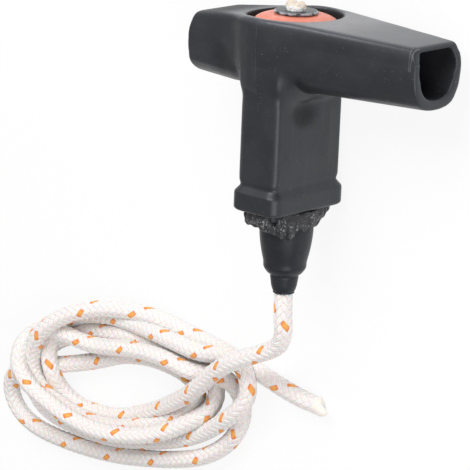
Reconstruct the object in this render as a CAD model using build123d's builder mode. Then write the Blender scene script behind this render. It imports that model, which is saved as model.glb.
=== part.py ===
# Recoil starter handle: a moulded T grip with a damped rope seat, and its rope.
# Millimetres. The handle lies on its back, as it comes to rest: the bar runs
# along X, the stem runs down from the bar along -Y, and +Z is up.
# Depths are measured from the palm face of the bar, down the stem.

import math
import os

from build123d import *

# Grip bar
grip_short = 28.4          # stem axis to the end of the short arm
grip_long = 46.1           # stem axis to the end of the long arm
end_half_width = 8.85      # where the end is widest
boss_half_width = 14.7     # over the stem; the handle rests on it
side_bulge = 0.75          # fullness of the end's sides below the palm edge
short_arm_droop = 3.0      # drop of the palm face at the short arm's end
long_arm_droop = 1.15
short_arm_sag = 19.3       # lowest edge at the short arm's end
long_arm_sag = 17.0
boss_depth = 18.9          # lowest edge of the bar at the stem
palm_edge_radius = 1.0
end_lean = 2.0             # the ends stand out below the palm face
lean_reach = 5.5
long_arm_swell = 0.4       # extra half width where the arm meets the boss
short_arm_swell = 1.75
swell_reach = 9.0
long_arm_flat = 9.0        # the palm face stays level this far from the axis
short_arm_flat = 3.0
short_arm_belly = 0.7      # fullness of the short arm's lowest edge
long_arm_taper = 0.119     # loss of half width for each millimetre along
short_arm_taper = 0.145
swell_sections = (-15, -11.4, -9.6, -8.2, -7.2, -6.4, -3.2, 0, 3.2, 6.4, 7.2, 8.2, 9.6, 11.4)   # from the axis

# Finger pockets in the arm ends
pocket_wall = 1.9
pocket_roof = 1.3
pocket_sole = 2.6
web_beside_hole = 2.2

# Stem and its rim flange
stem_half_x = 6.4
stem_half_z = 12.5
stem_corner = 2.3
stem_wall = 1.6
stem_length = 50.1
flange_step = 1.3
flange_height = 4.9
flange_shoulder = 1.6
flange_corner = 3.0
flange_edge = 0.6
root_radius = 5.0          # blend of the arms into the stem
root_fullness = 0.27       # how much squarer the bar is where it runs into the stem
root_flare = 1.1           # the stem is this much deeper where it enters the bar
root_top = 10.0
root_bottom = 22.0
panel_half_width = 9.3
panel_top = 23.0
panel_bottom = 41.5
panel_height = 0.35
panel_corner = 5
sink_radius = 2.9          # sink mark in the panel
sink_depth = 0.45
sink_at = 27.5

# Rope seat in the top of the boss
seat_radius = 12.1
seat_depth = 12.4
cap_rim_radius = 10.3
cap_guide_gap = 0.3
cap_guide_depth = 4.6
cap_depth = 6.4
cap_crown_radius = 6.3
cap_crown = 0.3
cap_edge = 2.5
disc_radius = 5.8
disc_thickness = 1.9
knot_height = 2.2

# Rope
rope_diameter = 5.0
rope_seat_gap = 0.1
rope_run_gap = 0.2

# Damper
damper_gap = 0.4
damper_groove = 1.0
damper_grooves = 4

# End plug with its nozzle
plug_gap = 0.1
plug_spigot = 3.0
bead_inset = 1.6
bead_height = 2.9
bead_wobble = 0.35
bead_collar = 0.45         # the bead's width where it passes the nozzle
plate_thickness = 1.9
plate_corner = 2.4
nozzle_root_radius = 6.95
nozzle_shoulder = 3.2      # straight part above the bead
nozzle_waist_radius = 5.2
nozzle_waist = 1.8         # from the waist to the step
nozzle_fullness = 0.54
nozzle_step_radius = 4.3
nose_radius = 3.55
nose_tip_radius = 3.15
nose_length = 5.4          # from the step to the tip
nozzle_reach = 22.9        # from the stem's end to the nozzle's tip

# Coil on the floor
coil_half_length = 50.2
coil_half_width = 23.4
coil_turn = 15.5           # degrees from the bar's direction
coil_across = -68.75       # coil's centre, from the stem's axis and the nozzle's tip
coil_along = -45.5
eye_half_length = 21.0
eye_half_width = 5.6

# Places worked out from the sizes above
rope_radius = rope_diameter / 2
nozzle_length = stem_length + nozzle_reach
nozzle_step_depth = nozzle_length - nose_length
stem_x = (grip_short - grip_long) / 2
palm_y = (nozzle_length - disc_thickness + cap_crown - knot_height) / 2
axis_z = boss_half_width
tip_y = palm_y - nozzle_length
cavity_half_x = stem_half_x - stem_wall
cavity_half_z = stem_half_z - stem_wall
flange_half_x = stem_half_x + flange_step
flange_half_z = stem_half_z + flange_step


def section(along):
    """Plane across the bar; its x is the row's Z and its y is the depth."""
    return Plane(origin=(stem_x + along, palm_y, axis_z), x_dir=(0, 0, 1), z_dir=(1, 0, 0))


def level(depth):
    """Plane across the stem, looking down it."""
    return Plane(origin=(stem_x, palm_y - depth, axis_z), x_dir=(1, 0, 0), z_dir=(0, -1, 0))


def grip_outline(along, half_width, top, bottom, fullness=0.68):
    """Flat palm face, full sides and a finger side that is round, or squarer if fuller."""
    height = bottom - top
    bulge = side_bulge * (end_half_width / half_width) ** 1.2
    edge = half_width - bulge
    with BuildSketch(section(along)) as outline:
        with BuildLine():
            palm = Line((0, top), (edge, top))
            flank = ThreePointArc(palm @ 1, (half_width, top + 0.27 * height), (edge, top + 0.55 * height))
            side = ThreePointArc(flank @ 1, (fullness * edge, top + 0.82 * height), (0, bottom))
            Line(side @ 1, palm @ 0)
        make_face()
        mirror(about=Plane.YZ)
        palm_edges = outline.vertices().group_by(Axis.Y)[0]
        fillet(palm_edges, palm_edge_radius)
    return outline.sketch


def arm_outline(along):
    """Outline of the bar at a distance from the stem's axis, minus for the short arm."""
    away = abs(along)
    if along > 0:
        reach, flat, droop, sag = grip_long, long_arm_flat, long_arm_droop, long_arm_sag
        taper, swell, belly = long_arm_taper, long_arm_swell, 0
    else:
        reach, flat, droop, sag = grip_short, short_arm_flat, short_arm_droop, short_arm_sag
        taper, swell, belly = short_arm_taper, short_arm_swell, short_arm_belly
    share = away / reach
    half_width = end_half_width + taper * (reach - away) + swell * math.exp(-(away / swell_reach) ** 4)
    top = droop * max(0, away - flat) / (reach - flat)
    bottom = boss_depth + (sag - boss_depth) * share + 4 * belly * share * (1 - share)
    root = max(0, 1 - max(0, away - stem_half_x) / root_radius) ** 2
    bottom += root * (root_bottom - boss_depth)
    return grip_outline(along, min(half_width, boss_half_width), top, bottom, 0.68 + root_fullness * root)


def beside():
    """Plane along the bar; its x is the row's X and its y is the depth."""
    return Plane(origin=(stem_x, palm_y, axis_z), x_dir=(1, 0, 0), z_dir=(0, 0, -1))


def rounded(depth, half_x, half_z, corner):
    """Rounded rectangle across the stem."""
    with BuildSketch(level(depth)) as outline:
        RectangleRounded(2 * half_x, 2 * half_z, corner)
    return outline.sketch


def pocket(end, inner, top, bottom):
    """Blind pocket in an arm, slightly narrower at its inner end."""
    draft = 0.012 * abs(end - inner)
    mouth = end + math.copysign(0.5, end)
    half = end_half_width - pocket_wall
    return [
        grip_outline(mouth, half, top + pocket_roof, bottom - pocket_sole),
        grip_outline(inner, half - draft, top + pocket_roof + draft, bottom - pocket_sole - draft),
    ]


def end_trim(end, top):
    """Region that trims an arm's end back towards the palm face."""
    way = math.copysign(1, end)
    with BuildSketch(beside()) as trim:
        with BuildLine():
            slope = ThreePointArc(
                (end - way * end_lean, top - 0.5),
                (end - way * 0.45 * end_lean, top + 0.29 * lean_reach),
                (end, top + lean_reach),
            )
            Polyline(slope @ 1, (end + way * 3, top + lean_reach), (end + way * 3, top - 0.5), slope @ 0)
        make_face()
    return trim.sketch


# Grip shell: bar, stem and flange moulded in one piece
inner_hole_web = seat_radius + web_beside_hole
with BuildPart() as grip_shell:
    loft([arm_outline(along) for along in (-grip_short, *swell_sections, grip_long)], ruled=True)
    loft([
        rounded(root_top, stem_half_x, stem_half_z + root_flare, stem_corner),
        rounded(root_bottom, stem_half_x, stem_half_z, stem_corner),
    ])
    extrude(rounded(root_bottom, stem_half_x, stem_half_z, stem_corner), amount=stem_length - root_bottom)

    # Raised panel with a sink mark on each broad side of the stem
    for side in (1, -1):
        panel_plane = Plane(
            origin=(stem_x + side * stem_half_x, palm_y - (panel_top + panel_bottom) / 2, axis_z),
            x_dir=(0, 0, 1),
            z_dir=(side, 0, 0),
        )
        with BuildSketch(panel_plane):
            RectangleRounded(2 * panel_half_width, panel_bottom - panel_top, panel_corner)
        extrude(amount=panel_height, taper=30)
        sink_plane = Plane(
            origin=(stem_x + side * (stem_half_x + panel_height), palm_y - sink_at, axis_z - 1),
            x_dir=(0, 0, 1),
            z_dir=(side, 0, 0),
        )
        with Locations(sink_plane.offset(-sink_depth / 2)):
            Cone(0.4 * sink_radius, sink_radius, sink_depth, mode=Mode.SUBTRACT)

    # Rim flange with its sloped shoulder
    flange_top = stem_length - flange_height
    loft([
        rounded(flange_top - flange_shoulder, stem_half_x, stem_half_z, stem_corner),
        rounded(flange_top, flange_half_x, flange_half_z, flange_corner),
    ])
    flange_side = flange_height - flange_edge
    extrude(rounded(flange_top, flange_half_x, flange_half_z, flange_corner), amount=flange_side)
    loft([
        rounded(flange_top + flange_side, flange_half_x, flange_half_z, flange_corner),
        rounded(stem_length, flange_half_x - flange_edge, flange_half_z - flange_edge, flange_corner),
    ])

    # Finger pockets, rope seat and the stem's inside
    loft(pocket(grip_long, inner_hole_web, long_arm_droop, long_arm_sag), mode=Mode.SUBTRACT)
    loft(pocket(-grip_short, -inner_hole_web, short_arm_droop, short_arm_sag), mode=Mode.SUBTRACT)
    extrude(end_trim(grip_long, long_arm_droop), amount=20, both=True, mode=Mode.SUBTRACT)
    extrude(end_trim(-grip_short, short_arm_droop), amount=20, both=True, mode=Mode.SUBTRACT)
    with BuildSketch(level(-1)):
        Circle(seat_radius)
    extrude(amount=seat_depth + 1, mode=Mode.SUBTRACT)
    extrude(rounded(seat_depth - 1, cavity_half_x, cavity_half_z, stem_corner - stem_wall + 0.6),
            amount=stem_length - seat_depth + 2, mode=Mode.SUBTRACT)
    grip_shell.part.label = "grip_shell"

stem_axis = Axis((stem_x, palm_y, axis_z), (0, -1, 0))

# Cap that the rope's end pulls down on the damper
cap_bore = rope_radius + rope_seat_gap
cap_guide_radius = seat_radius - cap_guide_gap
with BuildPart() as thrust_cap:
    with BuildSketch(beside()):
        with BuildLine():
            crown = Line((cap_bore, cap_crown), (cap_crown_radius, cap_crown))
            dome = ThreePointArc(
                crown @ 1,
                (0.55 * cap_rim_radius + 0.45 * cap_crown_radius, 0.6 * cap_crown + 0.4 * cap_edge - 0.15),
                (cap_rim_radius, cap_edge),
            )
            Polyline(
                dome @ 1,
                (cap_rim_radius, cap_guide_depth),
                (cap_guide_radius, cap_guide_depth),
                (cap_guide_radius, cap_depth),
                (cap_bore, cap_depth),
                crown @ 0,
            )
        make_face()
    revolve(axis=stem_axis)
    thrust_cap.part.label = "thrust_cap"

# Washer under the rope's knot
with BuildPart() as knot_disc:
    with BuildSketch(level(cap_crown - disc_thickness)):
        Circle(disc_radius)
        Circle(cap_bore, mode=Mode.SUBTRACT)
    extrude(amount=disc_thickness)
    rims = knot_disc.edges().filter_by(GeomType.CIRCLE).group_by(SortBy.RADIUS)[-1]
    chamfer(rims, 0.3 * disc_thickness)
    knot_disc.part.label = "knot_disc"

# Rope inside the handle, and the stub that is melted over the washer
stub_top = cap_crown - disc_thickness
with BuildPart() as rope_core:
    with BuildSketch(level(stub_top)):
        Circle(rope_radius)
    extrude(amount=nozzle_length - stub_top)
    rope_core.part.label = "rope_core"

with BuildPart() as rope_stub:
    for shrink, height in ((0, 0.7 * knot_height), (0.5, knot_height)):
        with BuildSketch(level(stub_top)):
            with Locations((-1.1, 0.4)):
                Circle(1.9 - shrink)
            with Locations((1.3, -0.4)):
                Circle(1.6 - shrink)
        extrude(amount=-height)
    rope_stub.part.label = "rope_stub"

# Rubber block that is squeezed when the rope is pulled hard
with BuildPart() as damper:
    block_x = cavity_half_x - damper_gap
    block_z = cavity_half_z - damper_gap
    block_length = stem_length - plug_spigot - cap_depth
    extrude(rounded(cap_depth, block_x, block_z, 1.2), amount=block_length)
    pitch = block_length / (damper_grooves + 1)
    for number in range(1, damper_grooves + 1):
        groove_y = palm_y - cap_depth - number * pitch
        with Locations((stem_x, groove_y, axis_z + block_z), (stem_x, groove_y, axis_z - block_z)):
            Cylinder(damper_groove, 2 * block_x, rotation=(0, 90, 0), mode=Mode.SUBTRACT)
    with BuildSketch(level(cap_depth)):
        Circle(rope_radius + 2 * rope_run_gap)
    extrude(amount=block_length, mode=Mode.SUBTRACT)
    damper.part.label = "damper"

# End plug: spigot, plate and nozzle
bead_half_x = flange_half_x - bead_inset
bead_half_z = flange_half_z - bead_inset
with BuildPart() as end_plug:
    spigot_x = cavity_half_x - plug_gap
    spigot_z = cavity_half_z - plug_gap
    extrude(rounded(stem_length - plug_spigot, spigot_x, spigot_z, 1.2), amount=plug_spigot)
    extrude(rounded(stem_length, bead_half_x - 1, bead_half_z - 1, plate_corner), amount=plate_thickness)
    with BuildSketch(beside()):
        plate_end = stem_length + plate_thickness
        with BuildLine():
            shoulder = stem_length + bead_height + nozzle_shoulder
            waist = nozzle_step_depth - nozzle_waist
            swell = nozzle_fullness * (nozzle_root_radius - nozzle_waist_radius)
            middle = (nozzle_waist_radius + swell, shoulder + 0.625 * (waist - shoulder))
            root = Polyline(
                (0, plate_end - 1),
                (nozzle_root_radius, plate_end - 1),
                (nozzle_root_radius, shoulder),
            )
            taper = ThreePointArc(root @ 1, middle, (nozzle_waist_radius, waist))
            Line(taper @ 1, (nozzle_step_radius, nozzle_step_depth))
            step = Line((nozzle_step_radius, nozzle_step_depth), (nose_radius, nozzle_step_depth + 0.3))
            nose = Line(step @ 1, (nose_tip_radius + 0.25, nozzle_length - 0.8))
            tip = Line(nose @ 1, (nose_tip_radius - 0.3, nozzle_length))
            Polyline(tip @ 1, (0, nozzle_length), (0, plate_end - 1))
        make_face()
    revolve(axis=stem_axis)
    with BuildSketch(level(stem_length - plug_spigot)):
        Circle(rope_radius + rope_run_gap)
    extrude(amount=nozzle_length, mode=Mode.SUBTRACT)
    end_plug.part.label = "end_plug"

# Bead squeezed out where the plug is welded to the flange
def bead_ring(depth, inset, phase):
    """Rounded rectangle with a lumpy edge."""
    steps = 44
    ring = []
    for number in range(steps):
        angle = 2 * math.pi * number / steps
        wobble = bead_wobble * math.sin(5 * angle + phase) + 0.5 * bead_wobble * math.sin(12 * angle - phase)
        square_x = math.copysign(abs(math.cos(angle)) ** 0.55, math.cos(angle))
        square_z = math.copysign(abs(math.sin(angle)) ** 0.55, math.sin(angle))
        reach_x = (bead_half_x - inset + wobble) * square_x
        reach_z = (bead_half_z - inset + wobble) * square_z
        ring.append((reach_x, reach_z))
    with BuildSketch(level(depth)) as outline:
        with BuildLine():
            Polyline(*ring, close=True)
        make_face()
    return outline.sketch


with BuildPart() as weld_bead:
    loft([
        bead_ring(stem_length, 0.3, 0.6),
        bead_ring(stem_length + 0.5 * bead_height, 0, 1.5),
        bead_ring(stem_length + bead_height, 0.9, 2.6),
    ], ruled=True)
    with BuildSketch(level(stem_length)):
        Circle(nozzle_root_radius + bead_collar)
    extrude(amount=bead_height - 0.4)
    extrude(rounded(stem_length, bead_half_x - 1, bead_half_z - 1, plate_corner), amount=plate_thickness,
            mode=Mode.SUBTRACT)
    with BuildSketch(level(stem_length)):
        Circle(nozzle_root_radius)
    extrude(amount=bead_height + 1, mode=Mode.SUBTRACT)
    weld_bead.part.label = "weld_bead"

# Free rope: from the nozzle over the coil, and out of the coil to its cut end
# The points are chosen by hand, from the stem's axis, the nozzle's tip and the floor.
run_points = [
    (0, 0, axis_z),
    (0, -6.5, axis_z),
    (-4.4, -16.3, 12.0),
    (-12.5, -20.8, 12.3),
    (-19.8, -24.5, 12.3),
    (-26.8, -29.1, 10.6),
    (-34.1, -34.6, 7.6),
    (-41.3, -40.2, 4.5),
]
tail_points = [
    (-34.0, -24.5, rope_radius),
    (-22.0, -26.6, rope_radius),
    (-8.0, -30.6, rope_radius),
    (7.2, -33.5, rope_radius),
]


def route(points):
    """Straight runs with a tangent arc at each bend, as wide as the runs allow."""
    spots = [Vector(stem_x + x, tip_y + y, z) for x, y, z in points]
    radii = []
    for before, here, after in zip(spots, spots[1:], spots[2:]):
        turn = math.radians((here - before).get_angle(after - here))
        shorter = min((here - before).length, (after - here).length)
        radii.append(0.45 * shorter / math.tan(turn / 2))
    print("bend radii", [round(radius, 1) for radius in radii])
    return spots, radii


def cord_wire(points):
    spots, radii = route(points)
    with BuildLine() as path:
        FilletPolyline(*spots, radius=radii)
    wire = path.wire()
    print("cord length", round(wire.length, 1), "volume", round(wire.length * math.pi * rope_radius**2, 1))
    return wire


def cord_section(wire):
    with BuildSketch(Plane(origin=wire @ 0, z_dir=wire % 0)) as end:
        Circle(rope_radius)
    return end.sketch


with BuildPart() as rope_coil:
    turned = math.radians(coil_turn)
    coil_plane = Plane(
        origin=(stem_x + coil_across, tip_y + coil_along, 0),
        x_dir=(math.cos(turned), math.sin(turned), 0),
        z_dir=(0, 0, 1),
    )
    with BuildSketch(coil_plane):
        Ellipse(coil_half_length, coil_half_width)
        SlotOverall(2 * eye_half_length, 2 * eye_half_width, mode=Mode.SUBTRACT)
    extrude(amount=rope_diameter)
    chamfer(rope_coil.edges(), 0.25 * rope_diameter)
    rope_coil.part.label = "rope_coil"

with BuildPart() as rope_run:
    run_wire = cord_wire(run_points)
    sweep(cord_section(run_wire), path=run_wire)
    print("swept volume", round(rope_run.part.volume, 1))
    add(rope_coil.part, mode=Mode.SUBTRACT)
    rope_run.part.label = "rope_run"

with BuildPart() as rope_tail:
    tail_wire = cord_wire(tail_points)
    sweep(cord_section(tail_wire), path=tail_wire)
    print("swept volume", round(rope_tail.part.volume, 1))
    add(rope_coil.part, mode=Mode.SUBTRACT)
    rope_tail.part.label = "rope_tail"

os.makedirs("parts", exist_ok=True)
nodes = [
    grip_shell,
    thrust_cap,
    knot_disc,
    rope_core,
    rope_stub,
    damper,
    end_plug,
    weld_bead,
    rope_run,
    rope_coil,
    rope_tail,
]
for node in nodes:
    export_step(node.part, f"parts/{node.part.label}.step")
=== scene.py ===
import math
from functools import partialmethod

import bpy
import numpy as np
from bpy.props import FloatProperty, FloatVectorProperty, IntProperty, PointerProperty
from mathutils import Matrix, Vector, noise


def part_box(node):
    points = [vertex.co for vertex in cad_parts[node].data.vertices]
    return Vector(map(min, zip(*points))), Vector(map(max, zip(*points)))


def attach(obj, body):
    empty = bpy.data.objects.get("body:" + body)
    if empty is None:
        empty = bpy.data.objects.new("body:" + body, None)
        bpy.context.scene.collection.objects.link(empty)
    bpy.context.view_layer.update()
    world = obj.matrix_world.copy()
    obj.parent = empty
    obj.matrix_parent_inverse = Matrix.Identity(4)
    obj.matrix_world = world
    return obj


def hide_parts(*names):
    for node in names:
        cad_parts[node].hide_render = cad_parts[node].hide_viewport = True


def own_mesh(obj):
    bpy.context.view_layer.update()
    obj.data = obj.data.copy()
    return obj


bl_info = {
    "name": "Recoil Starter Handle",
    "version": (1, 0, 0),
    "blender": (4, 5, 0),
    "location": "View3D > Sidebar > Handle",
    "description": "Dresses the moulded starter handle and lays its braided rope",
    "category": "Object",
}

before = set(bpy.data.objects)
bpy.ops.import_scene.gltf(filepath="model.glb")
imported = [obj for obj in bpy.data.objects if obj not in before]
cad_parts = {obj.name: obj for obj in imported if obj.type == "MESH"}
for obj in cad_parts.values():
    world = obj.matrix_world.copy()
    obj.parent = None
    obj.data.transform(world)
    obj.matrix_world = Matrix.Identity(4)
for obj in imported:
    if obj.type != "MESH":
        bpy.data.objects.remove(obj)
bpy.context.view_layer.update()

MM = 0.001
CORE_LOW, CORE_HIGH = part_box("rope_core")
STEM_X = (CORE_LOW[0] + CORE_HIGH[0]) / 2
AXIS_Z = (CORE_LOW[2] + CORE_HIGH[2]) / 2
TIP_Y = CORE_LOW[1]
CORE_TOP_Y = CORE_HIGH[1]
ROPE_ACROSS = CORE_HIGH[0] - CORE_LOW[0]

# The rope's route, given point by point. The first run is measured from the nozzle's
# tip and the floor: across, along and up.
RUN = [
    (0, 0, 14.7), (0, -6.5, 14.7), (-0.2, -11.6, 13.6), (-3.4, -16.6, 12.0), (-12.5, -20.8, 12.3),
    (-19.8, -24.5, 12.3), (-26.8, -29.1, 10.6), (-34.1, -34.6, 7.6), (-41.3, -40.2, 4.5),
]

# The coil's turns lie round its own centre, with its long side turned a little
# from the bar: along, across and up.
COIL_CENTRE = (-77.85, -83.6)
COIL_TURN = 15.5
FIRST_TURN = [
    (18.5, -6.3, 3.0), (8.7, -9.1, 2.5), (-2, -10.2, 2.5), (-11.5, -8.7, 2.8), (-18.8, -5.4, 5.0),
    (-22.2, -0.3, 7.5), (-23.2, 5.8, 8.6), (-23.0, 11.6, 8.6), (-20.6, 16.4, 7.0), (-14.5, 19.8, 4.2),
    (-6, 20.4, 2.5), (3.5, 19.4, 2.5), (13.8, 16.6, 2.5), (21.7, 13.2, 2.5), (31.5, 8.6, 2.5),
    (40, 7.6, 2.6), (48, 8.0, 4.5), (53.4, 4.6, 6.5), (54.5, 0.4, 7.5), (53.2, -3.6, 7.8),
    (49.4, -6.8, 7.8), (43.8, -9.6, 7.8), (35, -12.8, 6.5), (24, -15.4, 4.0), (15, -16.4, 2.5),
]
SECOND_TURN = [
    (6.5, -16.6, 2.5), (-6, -16.2, 2.5), (-16, -14.2, 2.5), (-26, -11.0, 2.5), (-34, -7.2, 2.5),
    (-38.6, -2.5, 2.5), (-38.5, 3.5, 2.5), (-33, 9.0, 2.5), (-25.5, 13.2, 2.8), (-17.5, 15.4, 3.2),
    (-8, 16.1, 6.2), (1.5, 15.2, 6.6), (10, 13.6, 6.6), (19, 10.2, 6.2), (27.5, 6.4, 4.0),
    (35, 3.2, 2.5), (39.6, -0.6, 2.5), (39.2, -4.6, 3.0), (36, -8.0, 4.5), (30, -10.4, 6.4),
    (20.5, -12.6, 7.4),
]
THIRD_TURN = [
    (11, -13.8, 7.4), (0, -13.4, 7.4), (-10, -11.6, 7.4), (-19, -8.0, 7.4), (-28, -2.4, 7.6),
    (-31.5, 3.6, 11.0), (-32.2, 9.0, 12.0), (-30.4, 13.6, 10.0), (-26.6, 16.8, 7.5), (-18.6, 18.2, 12.0),
    (-12.2, 15.9, 9.6), (-8.5, 12.0, 4.5), (-2, 10.8, 2.5), (8, 10.0, 2.5), (18, 7.6, 2.5),
    (27, 3.4, 2.5), (36, 2.6, 6.8), (43, 1.6, 5.2), (46.6, -3.0, 2.5), (45.4, -9.0, 2.5),
    (42, -14.0, 2.5), (36, -18.4, 2.5), (27, -21.3, 2.5), (16, -22.0, 2.5),
]
FOURTH_TURN = [
    (5, -21.6, 2.5), (-6, -20.8, 2.5), (-18, -18.8, 2.5), (-30, -15.8, 2.5), (-40, -12.2, 2.5),
    (-46.6, -7.6, 2.5), (-48.4, -2.2, 3.0), (-44.5, 3.2, 5.6), (-37, 7.0, 7.2), (-29, 6.6, 4.6),
    (-19, 6.2, 2.5), (-8, 7.0, 2.5),
]
FIFTH_TURN = [
    (3, 8.6, 2.5), (14, 8.0, 2.5), (23, 5.2, 2.5), (30.5, 1.6, 2.5), (34, -2.2, 2.5),
    (31.7, -5.6, 2.5), (24.5, -9.0, 4.6), (16, -10.6, 6.6), (6, -11.2, 6.4), (-4, -11.6, 6.0),
]
TAIL = [
    (-13, -9.8, 6.0), (-20, -5.4, 8.0), (-25.5, -0.2, 10.4), (-27.8, 5.4, 12.2), (-25.0, 11.6, 14.4),
    (-19.0, 17.8, 15.6), (-12.0, 21.4, 11.0), (-4, 22.4, 6.8), (6, 21.2, 5.2), (18, 17.4, 2.5),
    (31, 12.4, 2.5), (43, 7.6, 2.5), (53.5, 2.2, 2.5), (64, -4, 2.5), (74.5, -8.3, 2.5),
]

# Where a strand is lifted over another, it moves along this line, so that the
# coil keeps its look from the front.
LIFT = np.array([0.909, 0.368, 1.0])

# How the turns settle: how near they may lie in rope widths, how strongly they
# push apart, ease and go back, the tightest bend and sinking step in metres
CLOSENESS = 0.96
OTHER_TURN = 3
PUSH = 0.6
PUSH_ASIDE = 0.3
EASE_UP = 0.12
EASE_TIGHT = 0.25
GO_HOME = 0.06
TIGHTEST_BEND = 0.0085
SINK_STEP = 0.00004
HELD_POINTS = 7

# Strands of the braid each way, and how many one crosses before it repeats
STRANDS = 8
REPEAT = 4

# The rope's cut end: how much of it rounds off, swells, slants and flattens, and
# how far its slant leans, in metres
END_ROUND = 0.0022
END_SWELL = 0.003
END_SLANT = 0.0035
END_FLAT = 0.007
END_LEAN = 0.0013

# Skins: the grip's step in millimetres and the share of its faces that is kept,
# and the other steps in metres
SKIN_STEP = 0.33
SKIN_SHARE = 0.6
NOZZLE_SKIN = 0.00024
BEAD_SKIN = 0.00028
STUB_SKIN = 0.00013

# How much fuller than the frame's solid the arms are, at these depths under the
# palm face, in millimetres to each side
FULL_DEPTHS = (5.5, 9.7, 12.3, 13.7, 15.4, 17.2)
FULL_WIDTHS = (0.0, 0.6, 1.2, 1.5, 2.3, 2.6)

# Distance of the stem's broad face from its axis, height of its raised panel and
# depth of its sink mark and of the thumb's dent, in millimetres
PANEL_LEVEL = 6.4
PANEL_RAISED = 0.35
SINK_DEPTH = 0.75
THUMB_DEPTH = 0.8

# The same two dents: middle and reach across or up, then middle and reach down
# from the palm, for the mesh and for the matt spot with painted shade in the finish
SINK_DENT = (3.4, 3.6, 24.6, 2.6)
SINK_DULL_SHADE = (3.0, 6.2, 24.8, 4.2)
THUMB_DENT = (-15.2, 3.4, 12.2, 3.4)
THUMB_DULL_SHADE = (-15.2, 4.6, 12.4, 4.6)

# Depth of the round rope seat, below which the hollow is the stem's
SEAT_DEPTH = 15.0

# Crumb on the seat's wall: the way to it from the axis, and its size
CRUMB_ACROSS = 0.73
CRUMB_UP = 0.68
CRUMB_SIZE = 1.3

# Nozzle, in millimetres: nose, bore, and how the nose's radius changes
NOSE_REACH = 5.4
BORE_RADIUS = 2.55
NOSE_HEIGHTS = (0, 0.7, 2.0, 4.4, NOSE_REACH)
NOSE_SHARES = (0.76, 0.87, 0.97, 1.05, 1.0)

# Lumps of the weld bead, in millimetres: across, below the bead, up and radius
BEAD_BLOBS = (
    (5.2, -0.7, 4.4, 1.7), (3.4, -0.4, 6.0, 1.5), (6.0, -0.9, 0.8, 1.3), (4.6, -1.4, 7.8, 1.6),
    (2.2, -1.2, 8.8, 1.4), (-3.5, -0.4, 7.6, 1.3), (-6.5, -0.3, -4.0, 1.4),
)

# The bead's drooping edge: size of its waves in metres, and its droop
DROOP_SIZE = 0.006
DROOP = 0.35
DROOP_WAVE = 0.9

# Rope seat, in millimetres
CAP_BAND = 4.4
CAP_FLATTER = 0.62
WASHER_RADIUS = 5.75
WASHER_THICK = 1.0
STUB_SUNK = 0.55

# Lumps of the melted rope end: across, up, radius, and height as a share
STUB_LUMPS = ((-1.2, 0.3, 1.75, 1.0), (1.15, -0.3, 1.5, 0.86), (0.1, 0.0, 1.1, 0.6))

# The rope's UV map, and the length that it covers, in metres
UV_NAME = "rope_way"
UV_START = 0.1
UV_REACH = 1.15


class RopeSettings(bpy.types.PropertyGroup):
    lead: FloatProperty(name="Braid lead", description="Length in which a strand goes once round",
                        default=0.0178, min=0.004, unit="LENGTH")
    relief: FloatProperty(name="Braid relief", description="Depth of the furrows between the strands",
                          default=0.0003, min=0, unit="LENGTH")
    ring_step: FloatProperty(name="Ring step", default=0.00046, min=0.0001, unit="LENGTH",
                             description="Distance between the rings of the rope's mesh")
    around: IntProperty(name="Faces around", description="Faces round the rope", default=32, min=12)
    settling: IntProperty(name="Settling rounds", default=160, min=0,
                          description="Rounds in which the turns settle on each other")
    length: FloatProperty(name="Length", description="Free rope from the nozzle to the cut end",
                          default=0.965, min=0.05, unit="LENGTH")
    colour: FloatVectorProperty(name="Rope", description="Colour of the white strands", subtype="COLOR",
                                size=3, default=(0.88, 0.862, 0.85), min=0, max=1)
    # Painted shade: the furrows between the strands get this darker colour, where shade falls.
    furrow_shade: FloatVectorProperty(name="Furrows", description="Colour between the strands",
                                subtype="COLOR", size=3, default=(0.70, 0.60, 0.56), min=0, max=1)
    fleck: FloatVectorProperty(name="Flecks", description="Colour of the marked strand", subtype="COLOR",
                               size=3, default=(0.88, 0.40, 0.085), min=0, max=1)


class GripSettings(bpy.types.PropertyGroup):
    colour: FloatVectorProperty(name="Plastic", description="Colour of the moulded grip",
                                subtype="COLOR", size=3, default=(0.0155, 0.0158, 0.0185), min=0, max=1)
    grain: FloatProperty(name="Grain", description="Size of the moulded surface's grain",
                         default=0.00035, min=0.00005, unit="LENGTH")
    bead_lump: FloatProperty(name="Bead lumps", default=0.00042, min=0, unit="LENGTH",
                             description="Height of the weld bead's lumps")


class SeatSettings(bpy.types.PropertyGroup):
    cap: FloatVectorProperty(name="Cap", description="Colour of the cap in the rope seat",
                             subtype="COLOR", size=3, default=(0.68, 0.185, 0.115), min=0, max=1)
    disc: FloatVectorProperty(name="Washer", description="Colour of the washer under the rope's end",
                              subtype="COLOR", size=3, default=(0.020, 0.023, 0.030), min=0, max=1)
    stub: FloatVectorProperty(name="Melted rope", description="Colour of the rope's melted end",
                              subtype="COLOR", size=3, default=(0.74, 0.66, 0.56), min=0, max=1)


class StageSettings(bpy.types.PropertyGroup):
    key: FloatProperty(name="Key light", description="Strength of the large light above the handle",
                       default=5.6, min=0, unit="POWER")
    fill: FloatProperty(name="Fill light", description="Strength of the light at the camera's side",
                        default=2.5, min=0, unit="POWER")
    sky: FloatProperty(name="Sky", description="Strength of the light from all round",
                       default=0.42, min=0)


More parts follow.
